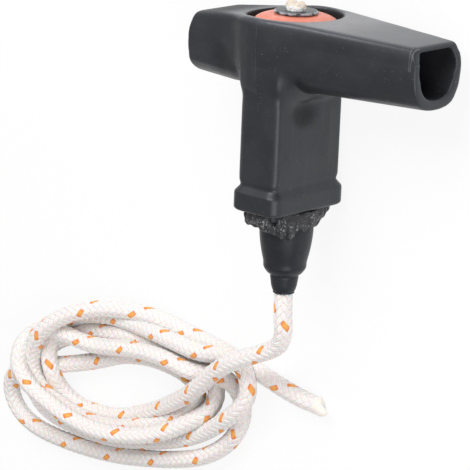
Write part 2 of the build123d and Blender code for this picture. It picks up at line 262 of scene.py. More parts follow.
class Signal:
    """An output of a material's node, for use in sums."""

    def __init__(self, finish, socket):
        self.finish = finish
        self.socket = socket

    def math(self, operation, *others):
        return self.finish.node("Math", {"operation": operation}, dict(enumerate((self, *others))))

    def __rsub__(self, other):
        return self.finish.node("Math", {"operation": "SUBTRACT"}, {0: other, 1: self})

    def __rtruediv__(self, other):
        return self.finish.node("Math", {"operation": "DIVIDE"}, {0: other, 1: self})

    __add__ = __radd__ = partialmethod(math, "ADD")
    __sub__ = partialmethod(math, "SUBTRACT")
    __mul__ = __rmul__ = partialmethod(math, "MULTIPLY")
    __truediv__ = partialmethod(math, "DIVIDE")
    __pow__ = partialmethod(math, "POWER")
    __mod__ = partialmethod(math, "FLOORED_MODULO")
    __lt__ = partialmethod(math, "LESS_THAN")
    __gt__ = partialmethod(math, "GREATER_THAN")
    __abs__ = partialmethod(math, "ABSOLUTE")
    whole = partialmethod(math, "FLOOR")
    part = partialmethod(math, "FRACT")
    cosine = partialmethod(math, "COSINE")
    sine = partialmethod(math, "SINE")
    most = partialmethod(math, "MAXIMUM")

    def between(self, low, high):
        """0 below low, 1 above high and a soft step from one to the other."""
        return self.finish.node("MapRange", {"interpolation_type": "SMOOTHSTEP"}, {
            "Value": self, "From Min": low, "From Max": high, "To Min": 0.0, "To Max": 1.0,
        })


class Finish:
    """A material, built node by node."""

    def __init__(self, name):
        self.material = bpy.data.materials.new(name)
        self.material.use_nodes = True
        self.tree = self.material.node_tree
        self.tree.nodes.clear()

    def node(self, kind, settings=None, values=None, out=0):
        made = self.tree.nodes.new("ShaderNode" + kind)
        for key, value in (settings or {}).items():
            setattr(made, key, value)
        for key, value in (values or {}).items():
            socket = made.inputs[key]
            if isinstance(value, Signal):
                self.tree.links.new(value.socket, socket)
            elif socket.type == "RGBA" and len(value) == 3:
                socket.default_value = (*value, 1.0)
            else:
                socket.default_value = value
        return Signal(self, made.outputs[out])

    def place(self):
        """Object coordinates in millimetres, as x, y and z."""
        spot = self.node("TexCoord", out="Object")
        self.spot = self.node("VectorMath", {"operation": "SCALE"}, {0: spot, "Scale": 1 / MM})
        split = self.node("SeparateXYZ", values={0: self.spot})
        return [Signal(self, output) for output in split.socket.node.outputs]

    def noise(self, across, detail=3.0, roughness=0.55, stretch=None):
        """Cloudy noise with lumps about this many millimetres across."""
        spot = self.spot
        if stretch:
            spot = self.node("VectorMath", {"operation": "MULTIPLY"}, {0: spot, 1: stretch})
        return self.node("TexNoise", values={
            "Vector": spot, "Scale": 1.0 / across, "Detail": detail, "Roughness": roughness,
        })

    def mix(self, share, first, second):
        return self.node("Mix", {"data_type": "RGBA"}, {0: share, 6: first, 7: second}, out=2)

    def bump(self, height, depth_mm, strength):
        """Normal from a height of 0 to 1 that stands for this depth."""
        return self.node("Bump", values={
            "Height": height, "Distance": depth_mm * MM, "Strength": strength,
        })

    def surface(self, **values):
        """Ends the material in one Principled shader."""
        named = {key.replace("_", " "): value for key, value in values.items()}
        shader = self.node("BsdfPrincipled", values=named)
        self.node_out(shader)
        return self.material

    def node_out(self, shader):
        last = self.tree.nodes.new("ShaderNodeOutputMaterial")
        self.tree.links.new(shader.socket, last.inputs["Surface"])


def deselect_all():
    bpy.ops.object.select_all(action="DESELECT")


def make_active(thing):
    deselect_all()
    thing.select_set(True)
    bpy.context.view_layer.objects.active = thing


def apply_modifier(thing, kind, name, **settings):
    make_active(thing)
    modifier = thing.modifiers.new(name, kind)
    for key, value in settings.items():
        setattr(modifier, key, value)
    bpy.ops.object.modifier_apply(modifier=modifier.name)


def settle_in_mesh(thing):
    """Puts the object's place, turn and size into its mesh."""
    make_active(thing)
    bpy.ops.object.transform_apply(location=True, rotation=True, scale=True)


def ball(place, radius, segments, rings):
    deselect_all()
    bpy.ops.mesh.primitive_uv_sphere_add(
        segments=segments, ring_count=rings, radius=radius, location=place)
    return bpy.context.object


def join(first, *others):
    """Makes one object of all, which keeps the first one's name."""
    make_active(first)
    for other in others:
        other.select_set(True)
    bpy.ops.object.join()


def even_skin(thing, step):
    apply_modifier(thing, "REMESH", "even_skin", mode="VOXEL", voxel_size=step, use_smooth_shade=True)


def soft_edges(thing, rounds):
    apply_modifier(thing, "SMOOTH", "soft_edges", factor=0.5, iterations=rounds)


def give(thing, material):
    thing.data.materials.clear()
    thing.data.materials.append(material)


def smooth_by_angle(thing, degrees):
    make_active(thing)
    bpy.ops.object.shade_smooth_by_angle(angle=math.radians(degrees))


def dressed_copy(node, name, degrees):
    """A merged copy of a CAD node with soft shading, which stands for it."""
    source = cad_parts[node]
    thing = bpy.data.objects.new(name, source.data.copy())
    bpy.context.scene.collection.objects.link(thing)
    make_active(thing)
    bpy.ops.object.mode_set(mode="EDIT")
    bpy.ops.mesh.select_all(action="SELECT")
    bpy.ops.mesh.remove_doubles(threshold=0.000002)
    bpy.ops.object.mode_set(mode="OBJECT")
    smooth_by_angle(thing, degrees)
    apply_modifier(thing, "WEIGHTED_NORMAL", "even_shading", keep_sharp=True, weight=80)
    return thing


def stand_for(thing, node, body, material):
    give(thing, material)
    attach(thing, body)
    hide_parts(node)


def roughen(thing, height, size, seed, swell=0.0):
    """Moves a mesh's points in and out by seeded noise, and all outwards by swell."""
    mesh = thing.data
    normals = [vertex.normal.copy() for vertex in mesh.vertices]
    for vertex, normal in zip(mesh.vertices, normals):
        spot = vertex.co / size + Vector((seed, 2 * seed, 3 * seed))
        lump = noise.noise(spot) + 0.5 * noise.noise(2.1 * spot)
        vertex.co += normal * (lump * height + swell)


# Rope

def coil_point(along, across, up):
    turn = math.radians(COIL_TURN)
    return (
        (COIL_CENTRE[0] + along * math.cos(turn) - across * math.sin(turn)) * MM,
        (COIL_CENTRE[1] + along * math.sin(turn) + across * math.cos(turn)) * MM,
        up * MM,
    )


def route_points():
    run = [(STEM_X + x * MM, TIP_Y + y * MM, z * MM) for x, y, z in RUN]
    turns = FIRST_TURN + SECOND_TURN + THIRD_TURN + FOURTH_TURN + FIFTH_TURN + TAIL
    return np.array(run + [coil_point(*spot) for spot in turns])


def spline_weights(count, each=6):
    """How much each route point counts at each spot of a quadratic spline through its ends."""
    order = 3
    inner = np.arange(1, count - order + 1)
    knots = np.concatenate([[0] * order, inner, [count - order + 1] * order])
    spots = np.linspace(0, count - order + 1 - 1e-9, each * (count - 2) + 1)
    weights = np.zeros((len(spots), count))
    for row, spot in enumerate(spots):
        last = int(np.searchsorted(knots, spot, side="right") - 1)
        last = min(max(last, order - 1), count - 1)
        shares = [1.0]
        for degree in range(1, order):
            grown = [0.0] * (degree + 1)
            for number in range(degree):
                low = knots[last - degree + 1 + number]
                high = knots[last + 1 + number]
                share = (spot - low) / (high - low)
                grown[number] += shares[number] * (1 - share)
                grown[number + 1] += shares[number] * share
            shares = grown
        for number in range(order):
            weights[row, last - order + 1 + number] = shares[number]
    return weights


def settle(points, across, rounds):
    """Lets the turns lie on each other and on the floor, a rope's width apart."""
    weights = spline_weights(len(points))
    shares = weights / np.maximum(weights.sum(0), 1e-9)
    home = points.copy()
    points = points.copy()
    apart = CLOSENESS * across
    for _ in range(rounds):
        line = weights @ points
        steps = np.diff(line, axis=0)
        lengths = np.linalg.norm(steps, axis=1)
        along = np.concatenate([[0], np.cumsum(lengths)])
        gap = line[:, None, :] - line[None, :, :]
        distance = np.linalg.norm(gap, axis=2)
        other_turn = np.abs(along[:, None] - along[None, :]) > OTHER_TURN * across
        short = np.where(other_turn & (distance < apart), apart - distance, 0)
        push = (short[:, :, None] * gap / np.maximum(distance, 1e-9)[:, :, None]).sum(1)
        push /= np.maximum((short > 0).sum(1), 1)[:, None]
        aside = push * np.array([PUSH_ASIDE, PUSH_ASIDE, 0])
        points += PUSH * (shares.T @ (aside + push[:, 2:] * LIFT))
        bend = np.zeros_like(points)
        bend[1:-1] = (points[:-2] + points[2:]) / 2 - points[1:-1]
        points[2:-2] += EASE_UP * bend[2:-2, 2:] * LIFT
        headings = steps / lengths[:, None]
        turn = np.arccos(np.clip((headings[:-1] * headings[1:]).sum(1), -1, 1))
        radius = (lengths[:-1] + lengths[1:]) / 2 / np.maximum(turn, 1e-6)
        tight = np.zeros(len(line))
        tight[1:-1] = np.clip(1 - radius / TIGHTEST_BEND, 0, 1)
        ease = np.clip(2 * (shares.T @ tight), 0, 1)[:, None]
        points[1:-1] += EASE_TIGHT * ease[1:-1] * bend[1:-1]
        goal = home + (points[:, 2:] - home[:, 2:]) * LIFT
        points[:, :2] += GO_HOME * (goal - points)[:, :2]
        points -= SINK_STEP * LIFT
        points += np.maximum(across / 2 - points[:, 2:], 0) * LIFT
        points[:HELD_POINTS] = home[:HELD_POINTS]
    return points


def spline_line(points):
    """The points of a smooth curve through the route, read from a curve object."""
    curve = bpy.data.curves.new("rope_route", "CURVE")
    curve.dimensions = "3D"
    curve.resolution_u = 16
    spline = curve.splines.new("NURBS")
    spline.points.add(len(points) - 1)
    for point, place in zip(spline.points, points):
        point.co = (*place, 1.0)
    spline.order_u = 3
    spline.use_endpoint_u = True
    route = bpy.data.objects.new("rope_route", curve)
    bpy.context.scene.collection.objects.link(route)
    bpy.context.view_layer.update()
    mesh = bpy.data.meshes.new_from_object(route)
    line = np.array([vertex.co[:] for vertex in mesh.vertices])
    bpy.data.objects.remove(route)
    bpy.data.curves.remove(curve)
    bpy.data.meshes.remove(mesh)
    return line


def even_line(line, step):
    """The same line with evenly spaced points, and the distance of each along it."""
    lengths = np.linalg.norm(np.diff(line, axis=0), axis=1)
    along = np.concatenate([[0], np.cumsum(lengths)])
    spots = np.linspace(0, along[-1], int(along[-1] / step) + 1)
    even = np.stack([np.interp(spots, along, line[:, axis]) for axis in range(3)], axis=1)
    return even, spots


def braid_height(turns, around):
    """Height of the braid from 0 to 1. Each strand goes over two and under two."""
    right = STRANDS * around + STRANDS * turns
    left = STRANDS * around - STRANDS * turns
    row = np.floor(right)
    column = np.floor(left)

    def strand(cross, run):
        crown = 1 - (2 * (cross - np.floor(cross)) - 1) ** 2
        return 0.5 * crown, 0.5 * np.cos(math.pi / 2 * (np.mod(run, REPEAT) - 1))

    crown_right, wave_right = strand(right, left + row)
    crown_left, wave_left = strand(left, right + column)
    return np.clip(np.maximum(crown_right + wave_right, crown_left - wave_left), 0, 1)


def braided_tube(name, line, start, settings, closed_end=True):
    """A tube along the line whose surface is the braid, with a UV map along and round it."""
    line, spots = even_line(line, settings.ring_step)
    count = settings.around
    radius = ROPE_ACROSS / 2
    headings = np.gradient(line, axis=0)
    headings /= np.linalg.norm(headings, axis=1)[:, None]
    side = np.zeros_like(line)
    first = np.cross(headings[0], (0.0, 0.0, 1.0))
    side[0] = first / np.linalg.norm(first)
    for number in range(1, len(line)):
        turned = side[number - 1] - headings[number] * (side[number - 1] @ headings[number])
        side[number] = turned / np.linalg.norm(turned)
    over = np.cross(headings, side)
    around = np.arange(count) / count
    turns = (spots + start)[:, None] / settings.lead
    height = braid_height(turns, around[None, :])
    reach = radius - settings.relief * (1 - height)
    if closed_end:
        left = spots[-1] - spots
        melt = np.clip(1 - left / END_ROUND, 0, 1)
        reach = reach * (1 + 0.05 * np.sin(math.pi * np.clip(left / END_SWELL, 0, 1)))[:, None]
        reach = reach * np.sqrt(np.clip(1 - 0.92 * melt ** 3.2, 0.02, 1))[:, None]
    angle = 2 * math.pi * around
    beside = side[:, None, :] * np.cos(angle)[None, :, None]
    above = over[:, None, :] * np.sin(angle)[None, :, None]
    ring = (beside + above) * reach[:, :, None]
    if closed_end:
        near_end = np.clip(1 - left / END_FLAT, 0, 1)
        ring[:, :, 2] *= (1 - 0.3 * near_end)[:, None]
        slant = np.clip(1 - left / END_SLANT, 0, 1)[:, None, None]
        lean = np.cos(angle)[None, :, None] * headings[:, None, :]
        ring = ring + slant * END_LEAN * lean
        ring[:, :, 2] -= (0.3 * radius * near_end)[:, None]
    places = (line[:, None, :] + ring).reshape(-1, 3)
    rows = len(line)
    faces = []
    for number in range(rows - 1):
        near = number * count
        far = near + count
        for spot in range(count):
            after = (spot + 1) % count
            faces.append((near + spot, near + after, far + after, far + spot))
    faces.append(tuple(range(count - 1, -1, -1)))
    faces.append(tuple(range((rows - 1) * count, rows * count)))
    mesh = bpy.data.meshes.new(name)
    mesh.from_pydata(places.tolist(), [], faces)
    mesh.polygons.foreach_set("use_smooth", [True] * len(faces))
    layer = mesh.uv_layers.new(name=UV_NAME)
    ways = (spots + start + UV_START) / UV_REACH
    values = np.zeros((len(mesh.loops), 2))
    rings = (rows - 1) * count
    near = np.repeat(ways[:-1], count)
    far = np.repeat(ways[1:], count)
    low = np.tile(around, rows - 1)
    high = low + 1 / count
    corners = ((near, low), (near, high), (far, high), (far, low))
    quads = np.stack([np.stack(corner, 1) for corner in corners], 1)
    values[:4 * rings] = quads.reshape(-1, 2)
    values[4 * rings:4 * rings + count] = np.stack([np.full(count, ways[0]), around[::-1]], 1)
    values[4 * rings + count:] = np.stack([np.full(count, ways[-1]), around], 1)
    layer.data.foreach_set("uv", values.ravel())
    mesh.update()
    thing = bpy.data.objects.new(name, mesh)
    bpy.context.scene.collection.objects.link(thing)
    return thing


def rope_finish(settings, rope_end=None):
    """White braid with one marked strand, and a melted end where the rope stops."""
    finish = Finish("rope_braid")
    finish.place()
    way = finish.node("UVMap", {"uv_map": UV_NAME})
    split = finish.node("SeparateXYZ", values={0: way})
    outputs = split.socket.node.outputs
    along = Signal(finish, outputs[0]) * UV_REACH - UV_START
    around = Signal(finish, outputs[1])
    turns = along * (STRANDS / settings.lead)
    right = around * STRANDS + turns
    left = around * STRANDS - turns
    row = right.whole()
    column = left.whole()
    over = (row + column) % REPEAT < 2
    right_cross = right.part()
    left_cross = left.part()
    cross = right_cross * over + left_cross * (1 - over)
    run_right = (((left + row) % REPEAT - 1) * (math.pi / 2)).cosine()
    run_left = (((right + column) % REPEAT - 1) * (math.pi / 2)).cosine()
    right_height = (1 - (right_cross * 2 - 1) ** 2) * 0.5 + run_right * 0.5
    left_height = (1 - (left_cross * 2 - 1) ** 2) * 0.5 - run_left * 0.5
    height = right_height.most(left_height).most(0)
    yarns = 0.5 - (cross * (2 * math.pi * 2)).cosine() * 0.5
    fuzz = finish.noise(0.12, detail=2.0)
    cloud = finish.noise(9.0, detail=2.0)
    tone = finish.noise(2.4, detail=2.0)
    aside = abs((right % STRANDS) * 2 - 1)
    ahead = abs((left % REPEAT) - 1)
    marked = 1 - (aside ** 4 + ahead ** 4).between(1.0, 1.25)
    deep = 1 - height.between(0.0, 0.85)
    # Painted shade: the furrows between strands and the gaps between yarns darken towards the furrow
    # colour; the cloud adds a random tone.
    shade = deep * 0.5 + (1 - yarns) * 0.45 * (1 - deep) + (1 - cloud) * 0.1
    white = finish.mix(shade, settings.colour, settings.furrow_shade)
    redder = tuple(value * share for value, share in zip(settings.fleck, (0.92, 0.48, 0.9)))
    darker = tuple(value * 0.6 for value in settings.fleck)
    # Painted shade: each fleck turns redder towards its ends, where the strand dips under the next,
    # mixed with a random tone.
    fleck_shade_and_tone = ahead.between(0.3, 1.0) * 0.8 + tone.between(0.45, 0.65) * 0.2
    orange = finish.mix(fleck_shade_and_tone, settings.fleck, redder)
    # Painted shade: the flecks darken in the furrows.
    orange = finish.mix(deep * 0.3, orange, darker)
    colour = finish.mix(marked, white, orange)
    rough = 0.62 + fuzz * 0.2
    relief = height * 0.56 + yarns * 0.38 * height + fuzz * 0.06
    if rope_end is not None:
        melt = (along + fuzz * 0.0006).between(rope_end - 0.0034, rope_end - 0.0016)
        colour = finish.mix(melt, colour, (0.84, 0.80, 0.74))
        rough = rough * (1 - melt * 0.5)
        relief = relief * (1 - melt * 0.85)
    return finish.surface(
        Base_Color=colour, Roughness=rough, Normal=finish.bump(relief, 0.24, 0.9),
        Sheen_Weight=0.15, Sheen_Roughness=0.5, Subsurface_Weight=0.3, Subsurface_Scale=0.0015,
        Specular_IOR_Level=0.35,
    )


class HANDLE_OT_lay_rope(bpy.types.Operator):
    """Lays the free rope from the nozzle through its loose coil to the cut end"""

    bl_idname = "handle.lay_rope"
    bl_label = "Lay the rope"

    def execute(self, context):
        settings = context.scene.rope_settings
        points = settle(route_points(), ROPE_ACROSS, settings.settling)
        line = spline_line(points)
        real = float(np.linalg.norm(np.diff(line, axis=0), axis=1).sum())
        rope = braided_tube("free_rope", line, 0.0, settings)
        give(rope, rope_finish(settings, rope_end=real))
        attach(rope, "rope_side")
        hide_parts("rope_run", "rope_coil", "rope_tail")
        return {"FINISHED"}


class HANDLE_OT_thread_core(bpy.types.Operator):
    """Threads the same rope through the stem, from the washer to the nozzle"""

    bl_idname = "handle.thread_core"
    bl_label = "Thread the rope's core"

    def execute(self, context):
        settings = context.scene.rope_settings
        line = np.array([(STEM_X, CORE_TOP_Y, AXIS_Z), (STEM_X, TIP_Y, AXIS_Z)])
        reach = CORE_TOP_Y - TIP_Y
        core = braided_tube("rope_in_stem", line, -reach, settings, closed_end=False)
        stand_for(core, "rope_core", "rope_side", rope_finish(settings))
        return {"FINISHED"}


# Moulded parts

def spread(first, second, spot):
    """How far a place is from a spot's middle, squared: 0 there and 1 at its edge."""
    middle_1, reach_1, middle_2, reach_2 = spot
    return ((first - middle_1) / reach_1) ** 2 + ((second - middle_2) / reach_2) ** 2


def seat_radius():
    """Radius of the cap, which fills the rope seat, in millimetres."""
    low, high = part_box("thrust_cap")
    return (high[0] - low[0]) / 2 / MM


def moulded_finish(name, settings, rough=0.42, glint=0.5, palm_y=None):
    """Satin black moulding with a fine grain and faint flow clouds, and the grip's marks, among them a
    painted reflection on the palm face and painted shade in the two dents and on the rope seat's wall.
    """
    finish = Finish(name)
    x, y, z = finish.place()
    grain = finish.noise(settings.grain / MM, detail=2.0)
    flow = finish.noise(7.0, detail=4.0)
    rubbed = finish.noise(1.6, detail=5.0, roughness=0.7)
    dust = finish.noise(0.45, detail=1.0)
    paler = tuple(1.35 * value for value in settings.colour)
    colour = finish.mix(flow.between(0.35, 0.7), settings.colour, paler)
    colour = finish.mix(dust.between(0.72, 0.8) * 0.5, colour, (0.20, 0.20, 0.20))
    shine = rough + (flow - 0.5) * 0.16 + (rubbed - 0.5) * 0.14
    coat = 0.0
    if palm_y is not None:
        top = palm_y / MM
        seat = seat_radius()
        across, up, down = x - STEM_X / MM, z - AXIS_Z / MM, top - y
        out = (across ** 2 + up ** 2) ** 0.5
        from_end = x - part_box("grip_shell")[1][0] / MM
        palm = y.between(top - 2.2, top - 0.6) * out.between(seat + 0.1, seat + 0.8)
        rim = y.between(top - 3.4, top - 1.4) * (1 - y.between(top - 0.7, top - 0.2))
        # Painted shade: the mask for the seat's wall under the rim, which is painted nearly black.
        well = (out < seat + 0.7) * (y > top - 6.0) * (1 - y.between(top - 1.0, top - 0.4))
        sink = (across > 5.0) * (1 - spread(up, down, SINK_DULL_SHADE))
        thumb = (up > 4.0) * (1 - spread(across, down, THUMB_DULL_SHADE))
        dull_and_shaded = sink.most(thumb).between(0.0, 1.0)
        curved_nick = abs(from_end + 1.5 + (down - 3.5) * (down - 3.5) * 0.012) < 0.1
        straight_nick = abs(from_end + 2.3 - down * 0.05) < 0.08
        nicks = curved_nick.most(straight_nick) * (down > 1.2) * (down < 6.6) * (up > 6.0)
        broad = (across > 5.5) * (across < 7.6) * (down > 22.0)
        streaks = finish.noise(1.1, detail=3.0, stretch=(1.0, 0.05, 1.0)).between(0.5, 0.7)
        seam = (abs(across) < 0.11) * (up > 6.0) * (down < 24.0) * flow.between(0.36, 0.5)
        for share, shade in (
            # Painted reflection: a pale bluish colour on the palm face, round the seat.
            (palm * 0.5, (0.055, 0.060, 0.078)),
            (nicks * rubbed.between(0.3, 0.5) * 0.5, (0.16, 0.16, 0.17)),
            # Painted shade: the sink mark and the thumb's dent are darkened, and they are also made
            # matt.
            (dull_and_shaded * 0.6, (0.005, 0.005, 0.006)),
            (streaks * broad * 0.35, (0.035, 0.036, 0.041)),
            (seam * 0.35, (0.07, 0.07, 0.075)),
            # Painted shade: the seat's wall under the rim is nearly black.
            (well * 0.8, (0.003, 0.003, 0.003)),
        ):
            colour = finish.mix(share, colour, shade)
        shine = shine - palm * 0.08 + (dull_and_shaded * 0.25 + rim * 0.28).most(well * 0.45)
        coat = palm * 0.6 + (1 - dull_and_shaded) * 0.05
    relief = finish.bump(grain * 0.7 + rubbed * 0.3, 0.02, 0.45)
    return finish.surface(
        Base_Color=colour, Roughness=shine, Specular_IOR_Level=glint, Specular_Tint=(0.9, 0.94, 1.0),
        Coat_Weight=coat, Coat_Roughness=0.22, Normal=relief,
    )


def bead_finish(settings):
    """Rough black melt with pale crumbs."""
    finish = Finish("rough_bead")
    finish.place()
    lumps = finish.noise(0.7, detail=4.0, roughness=0.6)
    crumbs = finish.node("TexVoronoi", values={"Vector": finish.spot, "Scale": 1.15})
    chips = finish.noise(0.5, detail=5.0, roughness=0.7).between(0.54, 0.62)
    patches = finish.noise(2.2).between(0.46, 0.54)
    pale = (0.09 - crumbs).between(0.0, 0.04).most(chips * patches)
    colour = finish.mix(pale * 0.7, settings.colour, (0.42, 0.43, 0.44))
    return finish.surface(
        Base_Color=colour, Roughness=0.34 + lumps * 0.3,
        Normal=finish.bump(lumps, 0.2, 0.8), Specular_IOR_Level=0.5,
    )


def read_places(thing):
    """The mesh's points and normals, as arrays."""
    places = np.array([vertex.co[:] for vertex in thing.data.vertices])
    normals = np.array([vertex.normal[:] for vertex in thing.data.vertices])
    return places, normals


def write_places(thing, places):
    thing.data.vertices.foreach_set("co", places.ravel())
    thing.data.update()


def ramp(values, low, high):
    """0 at low, 1 at high and a soft step from one to the other."""
    share = np.clip((values - low) / (high - low), 0, 1)
    return share * share * (3 - 2 * share)


def soften(thing, name, weights, rounds):
    """Smooths the mesh where the weights say so."""
    group = thing.vertex_groups.new(name=name)
    for number in np.flatnonzero(weights > 0.02):
        group.add([int(number)], float(weights[number]), "REPLACE")
    apply_modifier(thing, "SMOOTH", name, factor=0.5, iterations=rounds, vertex_group=name)
    thing.vertex_groups.remove(thing.vertex_groups[name])


def shape_grip(grip):
    """Gives the copy the soft edges, blends and dents of the real moulding."""
    low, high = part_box("grip_shell")
    places, normals = read_places(grip)
    across = (places[:, 0] - STEM_X) / MM
    depth = (high[1] - places[:, 1]) / MM
    up = (places[:, 2] - AXIS_Z) / MM
    away = np.abs(across)
    # The stem's broad faces, with a panel that fades out and its sink mark
    raised = (1 - ramp(up, 7.6, 10.4)) * ramp(up, -11.2, -6.0) * ramp(depth, 21.0, 25.5)
    raised = raised * (1 - ramp(depth, 35.0, 41.5))
    sunk = np.exp(-spread(up, depth, SINK_DENT))
    blend = ramp(depth, 20, 22.5)
    for side in (1, -1):
        broad = (across * side > 5.7) & (across * side < 7.3) & (normals[:, 0] * side > 0.35)
        broad &= (depth > 20) & (depth < 41.8)
        level = side * (PANEL_LEVEL + PANEL_RAISED * raised - SINK_DEPTH * sunk)
        goal = places[:, 0] + blend * (STEM_X + level * MM - places[:, 0])
        places[:, 0] = np.where(broad, goal, places[:, 0])
    # The arms' fuller section, and the thumb's dent
    wider = np.interp(depth, FULL_DEPTHS, FULL_WIDTHS) * ramp(away, 8.0, 13.0)
    places[:, 2] += wider * np.tanh(up / 1.4) * MM
    outside = (up > 6) & (normals[:, 2] > 0.4)
    dent = np.exp(-spread(across, depth, THUMB_DENT))
    places[:, 2] -= np.where(outside, THUMB_DEPTH * dent * MM, 0)
    # A crumb on the seat's wall
    seat = seat_radius() + 0.4
    beside = (across - CRUMB_ACROSS * seat) ** 2 + (up + CRUMB_UP * seat) ** 2
    crumb = np.exp(-(beside + (depth - 1.6) ** 2) / 1.5)
    from_axis = np.hypot(across, up)
    wall = (depth > 0.3) & (depth < 4.0) & (from_axis < seat + 1.0)
    inward = np.where(wall, CRUMB_SIZE * crumb, 0.0) * MM
    places[:, 0] -= inward * CRUMB_ACROSS
    places[:, 2] += inward * CRUMB_UP
    write_places(grip, places)
    # Soft root and corners on the outer surfaces, soft palm and ends
    root = ramp(away, 3.5, 5.5) * (1 - ramp(away, 12.5, 15.5))
    root = root * ramp(depth, 3.5, 6.5) * (1 - ramp(depth, 25.0, 28.0))
    corner = ramp(np.abs(up), 6.5, 8.5) * ramp(depth, 22.0, 25.0) * (1 - ramp(depth, 41.0, 42.5))
    off_stem = (away > 5.7) | (np.abs(up) > 10.0)
    outer = np.where(depth < SEAT_DEPTH, from_axis > seat + 1.2, off_stem)
    soften(grip, "soft_root", np.maximum(root, corner) * outer, 60)
    soften(grip, "soft_palm", (1 - ramp(depth, 2.6, 4.2)) * ramp(np.abs(up), 6.0, 8.0), 40)
    long_end, short_end = (high[0] - STEM_X) / MM, (low[0] - STEM_X) / MM
    ends = ramp(across, long_end - 3.0, long_end - 1.6)
    ends = ends + 1 - ramp(across, short_end + 1.6, short_end + 3.0)
    soften(grip, "soft_ends", ends, 9)
    # The stem is a little fuller, which makes up for the smoothing
    places, _ = read_places(grip)
    stem = ramp(depth, 14.0, 20.0) * (1 - ramp(depth, 42.0, 43.5)) * (away < 9)
    middle = np.array([STEM_X, 0.0, AXIS_Z])
    places += (places - middle) * stem[:, None] * np.array([0.02, 0.0, 0.03])
    write_places(grip, places)


class HANDLE_OT_dress_grip(bpy.types.Operator):
    """Dresses the T grip with its satin moulded finish"""

    bl_idname = "handle.dress_grip"
    bl_label = "Dress the grip"

    def execute(self, context):
        settings = context.scene.grip_settings
        grip = dressed_copy("grip_shell", "moulded_grip", 30)
        even_skin(grip, SKIN_STEP * MM)
        soft_edges(grip, 5)
        shape_grip(grip)
        apply_modifier(grip, "DECIMATE", "fewer_faces", ratio=SKIN_SHARE)
        smooth_by_angle(grip, 60)
        satin = moulded_finish("satin_grip", settings, palm_y=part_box("grip_shell")[1][1])
        stand_for(grip, "grip_shell", "grip_side", satin)
        return {"FINISHED"}


def shape_nozzle(plug):
    """Rounds the nozzle's nose and keeps its barrel full down to the step."""
    places, _ = read_places(plug)
    height = (places[:, 1] - TIP_Y) / MM
    aside = places[:, [0, 2]] - np.array([STEM_X, AXIS_Z])
    radius = np.hypot(aside[:, 0], aside[:, 1]) / MM
    nose = np.maximum(radius * np.interp(height, NOSE_HEIGHTS, NOSE_SHARES), BORE_RADIUS + 0.25)
    full = 1 + 0.085 * np.exp(-((height - NOSE_REACH - 1.2) / 1.3) ** 2) * (height > NOSE_REACH)
    wanted = np.where(height < NOSE_REACH, nose, radius * full)
    outer = radius > BORE_RADIUS + 0.2
    share = np.where(outer & (height < 20), wanted / np.maximum(radius, 1e-6), 1.0)
    places[:, [0, 2]] = np.array([STEM_X, AXIS_Z]) + aside * share[:, None]
    write_places(plug, places)


class HANDLE_OT_dress_nozzle(bpy.types.Operator):
    """Dresses the end plug with its nozzle and the rough bead round it"""

    bl_idname = "handle.dress_nozzle"
    bl_label = "Dress the nozzle"

    def execute(self, context):
        settings = context.scene.grip_settings
        plug = dressed_copy("end_plug", "moulded_nozzle", 30)
        even_skin(plug, NOZZLE_SKIN)
        soft_edges(plug, 4)
        shape_nozzle(plug)
        smooth_by_angle(plug, 60)
        satin = moulded_finish("satin_nozzle", settings, rough=0.4, glint=0.3)
        stand_for(plug, "end_plug", "grip_side", satin)
        bead = dressed_copy("weld_bead", "melted_bead", 60)
        bead_low, bead_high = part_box("weld_bead")
        for across, down, up, radius in BEAD_BLOBS:
            place = (STEM_X + across * MM, bead_low[1] - down * MM, AXIS_Z + up * MM)
            blob = ball(place, radius * MM, 20, 12)
            settle_in_mesh(blob)
            join(bead, blob)
        even_skin(bead, BEAD_SKIN)
        for vertex in bead.data.vertices:
            spot = Vector((vertex.co.x, 0, vertex.co.z)) / DROOP_SIZE + Vector((5.1, 0, 2.3))
            droop = max(0.0, DROOP + DROOP_WAVE * noise.noise(spot))
            vertex.co.y -= (bead_high[1] - vertex.co.y) * droop
        roughen(bead, settings.bead_lump, 0.0013, 3.7, swell=0.0003)
        soft_edges(bead, 4)
        stand_for(bead, "weld_bead", "grip_side", bead_finish(settings))
        return {"FINISHED"}


def cap_finish(settings):
    """Orange moulding, a little paler where it is rubbed."""
    finish = Finish("orange_cap")
    finish.place()
    flow = finish.noise(3.0, detail=4.0)
    grain = finish.noise(0.3, detail=2.0)
    specks = finish.noise(0.55, detail=3.0, roughness=0.6)
    pale = tuple(min(1.0, value + 0.10) for value in settings.cap)
    colour = finish.mix(flow.between(0.4, 0.75), settings.cap, pale)
    colour = finish.mix(specks.between(0.66, 0.74) * 0.7, colour, (0.07, 0.03, 0.03))
    return finish.surface(
        Base_Color=colour, Roughness=0.4 + (flow - 0.5) * 0.2, Normal=finish.bump(grain, 0.025, 0.5),
        Subsurface_Weight=0.1, Subsurface_Scale=0.001,
    )


def disc_finish(settings):
    """Glossy dark washer with fine turning marks and painted glints on its rim."""
    finish = Finish("glossy_disc")
    x, _, z = finish.place()
    out = ((x - STEM_X / MM) ** 2 + (z - AXIS_Z / MM) ** 2) ** 0.5
    rings = (out * 14).sine() * 0.5 + 0.5
    flow = finish.noise(1.5, detail=4.0)
    # Painted glints: a pale grey on the washer's rim, broken up by the flow clouds, which also add a
    # faint random paler tone.
    edge = out.between(5.0, 5.5) * flow.between(0.4, 0.56)
    colour = finish.mix(edge * 0.8 + flow * 0.06, settings.disc, (0.42, 0.44, 0.47))
    return finish.surface(
        Base_Color=colour, Roughness=0.2 + flow * 0.2, Specular_IOR_Level=0.25,
        Normal=finish.bump(rings * 0.4 + flow * 0.6, 0.012, 0.3),
    )


